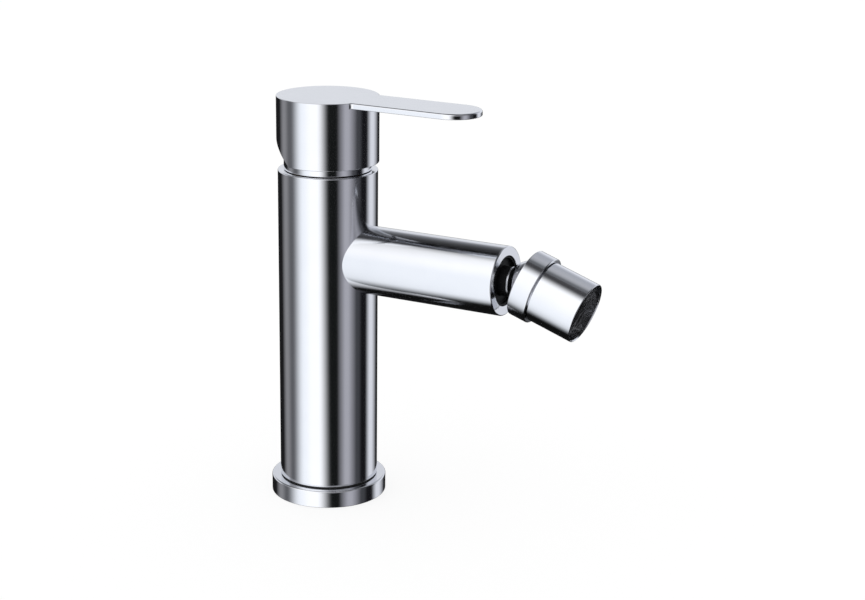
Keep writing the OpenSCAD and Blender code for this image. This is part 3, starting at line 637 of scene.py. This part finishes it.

# Swivel insert: a threaded acetal bush, screwed into the spout's mouth on a flat rubber seal.
# Its cupped front lines the mouth, with a nose round the stem's neck, and its bore guides the stem.
# A rubber ring seals the stem, and a steel clip holds it.
INSERT_R, INSERT_BORE, INSERT_BACK, INSERT_FRONT = 11.0, 6.55, 77.0, 85.0
INSERT_CUP, INSERT_RIM = 10.0, 89.5
SHOULDER_ROOM, NOSE_BORE, NOSE_R = 7.8, 5.45, 6.6
NOSE_BACK, NOSE_ROOT, NOSE_FRONT = 87.25, 88.0, 92.6
INSERT_EDGE, CUP_CORNER = 0.4, 0.6
# The near-black is deeper than the acetal's own black: painted shade for the inside of the spout's mouth and
# the outlet.
SHADE_AND_PLASTIC_BLACK, SHADE_AND_PLASTIC_GREY = (0.003, 0.003, 0.0035, 1), (0.008, 0.008, 0.009, 1)

plastic_and_painted_shade = moulded_plastic("acetal_and_painted_shade", SHADE_AND_PLASTIC_BLACK, SHADE_AND_PLASTIC_GREY,
                               roughness=0.46, shine=0.16, grain_depth=0.000003)
insert = Skin()
turn_round(insert, half_section([
    (INSERT_BORE, INSERT_BACK, EASED_EDGE), (INSERT_R, INSERT_BACK, INSERT_EDGE),
    (INSERT_R, INSERT_RIM, FINE_EDGE), (INSERT_CUP, INSERT_RIM, EASED_EDGE),
    (INSERT_CUP, NOSE_ROOT, CUP_CORNER), (NOSE_R, NOSE_ROOT, EASED_EDGE),
    (NOSE_R, NOSE_FRONT, EASED_EDGE), (NOSE_BORE, NOSE_FRONT, HAIR_EDGE), (NOSE_BORE, NOSE_BACK, HAIR_EDGE),
    (SHOULDER_ROOM, NOSE_BACK, 0), (SHOULDER_ROOM, INSERT_FRONT, 0), (INSERT_BORE, INSERT_FRONT, FINE_EDGE),
]))
insert.piece("swivel_insert", "mixer_body", plastic_and_painted_shade, along_spout)
dress(rubber, "insert_seal", "stem_o_ring")
dress(steel, "stem_clip")

# Ball stem: a hollow neck with a ball on its end, turned from one brass bar, polished and chromed.
# Its neck turns in the insert, a narrow bead closes it against the ball, and the nozzle swings on the ball.
BALL_X, BALL_R, BALL_FLAT = 101.7, 10.5, 7.035
STEM_R, STEM_WAY, STEM_BACK = 6.5, 4.0, 73.5
SHOULDER_R, SHOULDER_BACK, SHOULDER_FRONT, STEM_NECK = 7.4, 85.35, 86.95, 5.2
BEAD_R, BEAD_BACK, BEAD_EDGE = 6.9, 92.95, 0.15
CLIP_BACK, CLIP_FRONT, CLIP_R = 75.55, 76.75, 5.9
O_RING_BACK, O_RING_FRONT, O_RING_R = 80.3, 81.7, 5.3
BALL_STEPS = 40


def ball_run(middle, radius, first, last, out):
    """Part of a ball's half section between two heights; out is 1 on the ball and -1 in a hollow seat."""
    run = []
    low, high = math.asin((first - middle) / radius), math.asin((last - middle) / radius)
    for k in range(BALL_STEPS + 1):
        rise = low + (high - low) * k / BALL_STEPS
        normal = Vector((math.cos(rise), math.sin(rise)))
        run.append((Vector((0, middle)) + normal * radius, normal * out))
    return run


ball_start = BALL_X - math.sqrt(BALL_R ** 2 - BEAD_R ** 2)
ball_end = BALL_X + BALL_FLAT
stem = Skin()
turn_round(stem, half_section([
    (STEM_WAY, STEM_BACK, FINE_EDGE), (STEM_R, STEM_BACK, EASED_EDGE), (STEM_R, CLIP_BACK, 0),
    (CLIP_R, CLIP_BACK, 0), (CLIP_R, CLIP_FRONT, 0), (STEM_R, CLIP_FRONT, 0),
    (STEM_R, O_RING_BACK, 0), (O_RING_R, O_RING_BACK, 0), (O_RING_R, O_RING_FRONT, 0),
    (STEM_R, O_RING_FRONT, 0), (STEM_R, SHOULDER_BACK, 0), (SHOULDER_R, SHOULDER_BACK, EASED_EDGE),
    (SHOULDER_R, SHOULDER_FRONT, EASED_EDGE), (STEM_NECK, SHOULDER_FRONT, FINE_EDGE),
    (STEM_NECK, BEAD_BACK, FINE_EDGE), (BEAD_R, BEAD_BACK, BEAD_EDGE),
    ball_run(BALL_X, BALL_R, ball_start, ball_end, 1), (STEM_WAY, ball_end, EASED_EDGE),
]))
stem.piece("ball_stem", "swivel_stem", chrome, along_spout)

# Collar: the wide ring that closes over the back of the ball and pulls it into its seat, turned and chromed.
# The nozzle sleeve screws into its front, against the moulded seat ring.
NOZZLE_SLOPE = math.radians(18.9)
COLLAR_R, COLLAR_BACK, COLLAR_FRONT, COLLAR_EDGE = 15.2, -2.55, 6.2, 0.5
SOCKET_R, SEAT_BACK, COLLAR_BORE = 10.55, 1.0, 12.2
ball_place = Matrix.Translation((BALL_X * MM, 0, SPOUT_Z * MM))
on_nozzle = ball_place @ Matrix.Rotation(math.radians(90) + NOZZLE_SLOPE, 4, "Y")

collar = Skin()
turn_round(collar, half_section([
    (COLLAR_R, COLLAR_BACK, COLLAR_EDGE), (COLLAR_R, COLLAR_FRONT, COLLAR_EDGE),
    (COLLAR_BORE, COLLAR_FRONT, FINE_EDGE), (COLLAR_BORE, SEAT_BACK, 0),
    ball_run(0, SOCKET_R, COLLAR_BACK, SEAT_BACK, -1)[::-1],
]))
collar.piece("collar", "outlet_nozzle", chrome, on_nozzle)
dress(nylon, "ball_seat")

# Nozzle sleeve: the outlet tube, turned from brass, polished and chromed outside and in its mouth.
# A narrow groove is left where it screws up to the collar, and its mouth keeps a thin rim round the aerator.
SLEEVE_R, SLEEVE_BACK, SLEEVE_END, SLEEVE_EDGE = 13.7, 6.6, 27.5, 0.3
SLEEVE_SPIGOT, SPIGOT_BACK, CHAMBER_R = 12.15, 4.5, 10.0
AERATOR_SEAT, AERATOR_BORE, FLANGE_BACK = 15.0, 12.35, 19.7
MOUTH_RIM, MOUTH_BEVEL, GROOVE_EDGE = 13.0, 0.38, 0.12

sleeve = Skin()
turn_round(sleeve, half_section([
    (CHAMBER_R, SPIGOT_BACK, FINE_EDGE), (SLEEVE_SPIGOT, SPIGOT_BACK, FINE_EDGE),
    (SLEEVE_SPIGOT, SLEEVE_BACK, 0), (SLEEVE_R, SLEEVE_BACK, GROOVE_EDGE),
    (SLEEVE_R, SLEEVE_END, SLEEVE_EDGE), (MOUTH_RIM + MOUTH_BEVEL, SLEEVE_END, 0),
    (MOUTH_RIM, SLEEVE_END - MOUTH_BEVEL, HAIR_EDGE), (MOUTH_RIM, FLANGE_BACK, 0),
    (AERATOR_BORE, FLANGE_BACK, 0), (AERATOR_BORE, AERATOR_SEAT, 0), (CHAMBER_R, AERATOR_SEAT, 0),
]))
sleeve.piece("nozzle_sleeve", "outlet_nozzle", chrome, on_nozzle)
dress(rubber, "aerator_washer")

# Aerator insert: a moulded cup with a ring of eight small holes that break the water into jets.
# It sits deep in the sleeve's mouth, and a moulded grid of grey plastic lies in its open end.
AERATOR_R, FLANGE_R, AERATOR_FACE, AERATOR_WAY = 12.3, 12.95, 21.5, 10.9
PLATE_BACK, PLATE_FRONT = 16.6, 18.0
JET_R, JET_RING, JET_COUNT, JET_STEPS = 1.2, 6.54, 8, 24
GRID_GREY, GRID_PALE = (0.085, 0.085, 0.09, 1), (0.14, 0.14, 0.147, 1)

# The plate's two faces are left out of the turned strips and filled in flat, because jets go through them.
aerator = Skin()
turn_round(aerator, [s for s in half_section([
    (0, PLATE_BACK, 0), (AERATOR_R, PLATE_BACK, FINE_EDGE), (AERATOR_R, FLANGE_BACK, 0),
    (FLANGE_R, FLANGE_BACK, HAIR_EDGE), (FLANGE_R, AERATOR_FACE, EASED_EDGE),
    (AERATOR_WAY, AERATOR_FACE, EASED_EDGE), (AERATOR_WAY, PLATE_FRONT, 0), (0, PLATE_FRONT, 0),
]) if max(s[0][0].x, s[1][0].x) > AERATOR_WAY])
plate_rims = []
for plate_z, radius, out in ((PLATE_BACK, AERATOR_R - FINE_EDGE, DOWN), (PLATE_FRONT, AERATOR_WAY, UP)):
    loops = [[swing((radius, plate_z), math.tau * k / TURN_STEPS) for k in range(TURN_STEPS)]]
    for jet in range(JET_COUNT):
        middle = swing((JET_RING, 0), math.tau * jet / JET_COUNT)
        loops.append([middle + swing((JET_R, plate_z), math.tau * k / JET_STEPS) for k in range(JET_STEPS)])
    aerator.flat(loops, lambda p: p.xy, lambda p: out)
    plate_rims.append(loops[1:])
for jet in range(JET_COUNT):
    middle = swing((JET_RING, 0), math.tau * jet / JET_COUNT)
    low, high = plate_rims[0][jet], plate_rims[1][jet]
    for k in range(JET_STEPS):
        wall = (low[k - 1], low[k], high[k], high[k - 1])
        aerator.face([(p, (middle.x - p.x, middle.y - p.y, 0)) for p in wall])
# This cup shares the insert's near-black, which is partly the plastic's own black and partly painted shade in
# the outlet.
aerator.piece("aerator_insert", "outlet_nozzle", plastic_and_painted_shade, on_nozzle)
dress(moulded_plastic("grey_acetal", GRID_GREY, GRID_PALE, roughness=0.36), "aerator_screen")

# Floor: a wide pale sheet that the mixer stands on, seen white by the camera with a faint shadow on it.
# The chrome doesn't mirror it: the surround stands in for what lies below the mixer too.
FLOOR_HALF, FLOOR_DROP = 4.0, 0.0002
FLOOR_PALE, FLOOR_LIFT = (0.20, 0.20, 0.20, 1), 0.81
WHITE = (1, 1, 1, 1)


def studio_floor():
    """Pale and even. Rays from the camera add the little that lifts it to white, and its shadow stays."""
    finish, start = new_finish("pale_floor")[:2]
    seen = start.node("ShaderNodeLightPath", {}, {}, "Is Camera Ray")
    matt = start.node("ShaderNodeBsdfDiffuse", {}, {"Color": FLOOR_PALE})
    lift = start.node("ShaderNodeEmission", {}, {"Color": WHITE, "Strength": FLOOR_LIFT})
    lifted = start.node("ShaderNodeAddShader", {}, {0: matt, 1: lift})
    shown = start.node("ShaderNodeMixShader", {}, {0: seen, 1: matt, 2: lifted})
    start.node("ShaderNodeOutputMaterial", {}, {"Surface": shown})
    return finish


floor_corners = [(x * FLOOR_HALF, y * FLOOR_HALF, -FLOOR_DROP)
                 for x, y in ((-1, -1), (1, -1), (1, 1), (-1, 1))]
floor_mesh = bpy.data.meshes.new("floor")
floor_mesh.from_pydata(floor_corners, [], [(0, 1, 2, 3)])
floor_mesh.materials.append(studio_floor())
floor = bpy.data.objects.new("floor", floor_mesh)
bpy.context.scene.collection.objects.link(floor)
floor.visible_glossy = False

# Surround: the studio that the chrome mirrors, while the camera and the matt pieces see plain white.
# Round the mixer runs a belt of walls, flags and cards, with skies above it, all by degrees from the camera.
# A tall soft light stands left of the camera and leans over the mixer.
CAMERA_TURN = math.radians(31.322)
BELT = [
    # rear flag on the left, left wall, left flag, and the dark card round the camera
    (-180, -135, (0.012, 0.012, 0.013)),
    (-118, -110, (0.27, 0.27, 0.285)),
    (-98, -60, (0.13, 0.132, 0.142)),
    (-45, 20, (0.008, 0.009, 0.009)),
    # right wall, right flag, right card, side light, and rear flag on the right
    (39, 47, (0.45, 0.45, 0.50)),
    (68, 75, (0.06, 0.062, 0.07)),
    (84, 97.5, (0.009, 0.009, 0.011)),
    (112, 123, (0.80, 0.82, 0.88)),
    (148, 180, (0.02, 0.02, 0.022)),
]
REAR_SKY = [
    (-10, (0.60, 0.62, 0.65)), (4, (0.80, 0.82, 0.86)), (22, (0.77, 0.79, 0.84)),
    (28, (0.35, 0.36, 0.39)), (37, (0.155, 0.16, 0.175)), (47, (0.065, 0.066, 0.07)),
    (57, (0.02, 0.02, 0.022)), (90, (0.05, 0.05, 0.053)),
]
RIGHT_SKY = [
    (-10, (0.62, 0.64, 0.69)), (4, (0.78, 0.80, 0.86)), (15, (0.88, 0.90, 0.97)),
    (25, (0.60, 0.62, 0.68)), (36, (0.44, 0.46, 0.51)), (62, (0.49, 0.50, 0.54)),
    (72, (0.40, 0.41, 0.44)), (82, (0.12, 0.13, 0.14)), (90, (0.07, 0.07, 0.075)),
]
FRONT_SKY = [
    (2, (0.12, 0.12, 0.13)), (14, (0.34, 0.34, 0.36)), (40, (0.34, 0.34, 0.36)),
    (56, (0.06, 0.06, 0.065)), (90, (0.06, 0.06, 0.065)),
]
BEHIND, BEHIND_RISE = (98, 114), (-7, 2)
RIGHT_START, RIGHT_STOP = (88, 104), (158, 174)
DIM_STOP, DIM_RISE = (130, 146), (30, 44)
FLAG_START, FLAG_RISE = (40, 56), (36, 56)
FRONT_RISE, LOW_RISE, LOWEST_RISE = (-3, 12), (-36, -52), (-68, -58)
SIDE_START, SIDE_RISE = (104, 118), (-22, -33)
DIM_TOP, DIM_WALL = (0.06, 0.06, 0.065, 1), (0.16, 0.165, 0.18, 1)
NADIR = (0.006, 0.006, 0.006, 1)
SOFT_TURN, SOFT_LEAN = math.radians(-45), 0.4
SOFT_LEFT, SOFT_RIGHT = (-45, -13), (19, 46)
SOFT_LOW, SOFT_HIGH = (-81, -48), (56, 84)
GLOW_SIDE, GLOW_CLIMB = (-18, 8), (5, 40)
SOFT_OUTER, SOFT_INNER = (1.06, 1.10, 1.16, 1), (1.24, 1.25, 1.28, 1)

world = bpy.data.worlds.new("studio")
bpy.context.scene.world = world
world.use_nodes = True
world.node_tree.nodes.clear()
studio = Flow(world.node_tree)
way = studio.node("ShaderNodeTexCoord", {}, {}, "Generated")


def toward(direction):
    """How far a ray points along a direction, from -1 to 1."""
    return studio.node("ShaderNodeVectorMath", {"operation": "DOT_PRODUCT"}, {0: way, 1: direction}, "Value")


def ease(angle, band):
    """A soft step from 0 to 1 between the two degrees of a band."""
    first, last = (math.radians(degrees) for degrees in band)
    return studio.node("ShaderNodeMapRange", {"interpolation_type": "SMOOTHSTEP"},
                       {"Value": angle, "From Min": first, "From Max": last})


front = (math.sin(CAMERA_TURN), -math.cos(CAMERA_TURN), 0)
right = (math.cos(CAMERA_TURN), math.sin(CAMERA_TURN), 0)
height = toward((0, 0, 1))
bearing = height.maths("ARCTAN2", toward(right), toward(front))
rise = height.maths("ARCSINE", height)
belt_stops = []
for first, last, colour in BELT:
    belt_stops += [(first / 360 + 0.5, (*colour, 1)), (last / 360 + 0.5, (*colour, 1))]
belt = studio.node("ShaderNodeValToRGB", {"stops": belt_stops}, {"Fac": bearing * (1 / math.tau) + 0.5})


def tall(stops):
    """A sky that changes with the rise alone."""
    return studio.node("ShaderNodeValToRGB", {"stops": [(a / 180 + 0.5, (*c, 1)) for a, c in stops]},
                       {"Fac": rise * (1 / math.pi) + 0.5})


# Above the belt: pale low sky behind the mixer, a grey wall on its right, dark flags right of the camera
# and a grey sky over it. Below the belt the studio falls off to near black.
behind = ease(bearing.maths("ABSOLUTE", bearing), BEHIND)
right_start = ease(bearing, RIGHT_START)
right_wall = right_start * (1 - ease(bearing, RIGHT_STOP))
dim_wall = right_start * (1 - ease(bearing, DIM_STOP)) * ease(rise, DIM_RISE)
flags = ease(bearing, FLAG_START) * (1 - behind)
rear_sky = dim_wall.colours(right_wall.colours(tall(REAR_SKY), tall(RIGHT_SKY)), DIM_WALL)
surround = (behind * ease(rise, BEHIND_RISE)).colours(belt, rear_sky)
surround = (flags * ease(rise, FLAG_RISE)).colours(surround, DIM_TOP)
surround = ((1 - flags) * (1 - behind) * ease(rise, FRONT_RISE)).colours(surround, tall(FRONT_SKY))
surround = ease(rise, LOW_RISE).colours(surround, NADIR)
surround = (ease(bearing, SIDE_START) * ease(rise, SIDE_RISE)).colours(surround, NADIR)

# The tall soft light, as a strip with a brighter middle, measured sideways and up from its own bearing.
soft_way = [f * math.cos(SOFT_TURN) + r * math.sin(SOFT_TURN) for f, r in zip(front, right)]
soft_side = [r * math.cos(SOFT_TURN) - f * math.sin(SOFT_TURN) for f, r in zip(front, right)]
lateral = height.maths("ARCSINE", toward(soft_side))
climb = height.maths("ARCTAN2", height, toward(soft_way))
soft = (ease(lateral, SOFT_LEFT) * (1 - ease(lateral, SOFT_RIGHT)) * ease(climb, SOFT_LOW)
        * (1 - ease(climb + SOFT_LEAN * lateral, SOFT_HIGH)))
glow = ease(climb, GLOW_CLIMB)
soft_colour = (ease(lateral, GLOW_SIDE) * (1 - glow) + glow).colours(SOFT_OUTER, SOFT_INNER)
surround = soft.colours(surround, soft_colour)
surround = (1 - ease(rise, LOWEST_RISE)).colours(surround, NADIR)
mirrored = studio.node("ShaderNodeLightPath", {}, {}, "Is Glossy Ray")
background = studio.node("ShaderNodeBackground", {},
                         {"Color": mirrored.colours(WHITE, surround), "Strength": 1.0})
studio.node("ShaderNodeOutputWorld", {}, {"Surface": background})

# Camera: a long lens well above the handle, looking down at the mixer from its right front.
# It has no shift, and is turned, tipped and rolled so that the mixer sits in the frame as photographed.
CAMERA_OUT, CAMERA_HEIGHT = 833.168, 339.564
CAMERA_YAW, CAMERA_PITCH, CAMERA_ROLL = math.radians(-3.277), math.radians(16.562), math.radians(0.741)
CAMERA_LENS, CAMERA_SENSOR = 78.93, 36.0
VIEW_NEAR, VIEW_FAR = 0.01, 50.0

camera_data = bpy.data.cameras.new("camera")
camera_data.lens = CAMERA_LENS
camera_data.sensor_width = CAMERA_SENSOR
camera_data.clip_start = VIEW_NEAR
camera_data.clip_end = VIEW_FAR
camera = bpy.data.objects.new("camera", camera_data)
bpy.context.scene.collection.objects.link(camera)
heading = CAMERA_TURN + CAMERA_YAW
ahead = Vector((-math.sin(heading) * math.cos(CAMERA_PITCH), math.cos(heading) * math.cos(CAMERA_PITCH),
                -math.sin(CAMERA_PITCH)))
level = Vector((math.cos(heading), math.sin(heading), 0))
over = level.cross(ahead)
across = level * math.cos(CAMERA_ROLL) + over * math.sin(CAMERA_ROLL)
upright = over * math.cos(CAMERA_ROLL) - level * math.sin(CAMERA_ROLL)
stand = Vector(front) * CAMERA_OUT * MM + UP * CAMERA_HEIGHT * MM
camera.matrix_world = Matrix.Translation(stand) @ Matrix((across, upright, -ahead)).transposed().to_4x4()
bpy.context.scene.camera = camera
bpy.context.scene.view_settings.view_transform = "Standard"
